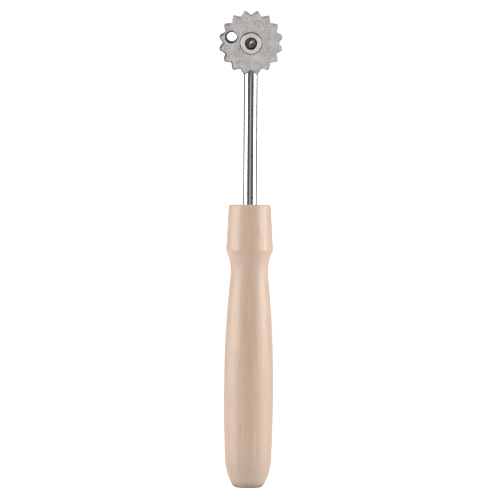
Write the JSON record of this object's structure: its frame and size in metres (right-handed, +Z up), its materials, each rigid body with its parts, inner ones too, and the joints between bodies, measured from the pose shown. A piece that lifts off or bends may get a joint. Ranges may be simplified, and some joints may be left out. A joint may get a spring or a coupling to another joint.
{
  "type": "tracing wheel",
  "caption": "Hand tool with a free-spinning toothed steel wheel on a bent steel rod, driven into a long turned wooden handle.",
  "frame": {"origin": "centre of the flat middle of the handle's butt", "axes": "+Z up the handle and the rod towards the wheel, -Y the side that the wheel's face looks to, +X to the right seen from that side"},
  "size_m": [0.022, 0.0239, 0.1677],
  "materials": {
    "handle": "fine sanded raw hardwood",
    "rod": "polished",
    "wheel": "tumbled matt grey",
    "bush": "smooth turned"
  },
  "bodies": {
    "grip": {"handle": "handle", "shank": "rod"},
    "wheel": {"toothed_wheel": "wheel", "hub_bush": "bush"},
    "washer": {"rear_washer": "bush"}
  },
  "joints": [
    {"name": "wheel_spin", "type": "hinge", "parent": "grip", "child": "wheel", "pos_m": [0, -0.011, 0.1566], "axis": [0, -0.9744, -0.225], "continuous": true},
    {"name": "washer_spin", "type": "hinge", "parent": "grip", "child": "washer", "pos_m": [0, -0.00852, 0.15717], "axis": [0, -0.9744, -0.225], "continuous": true}
  ]
}
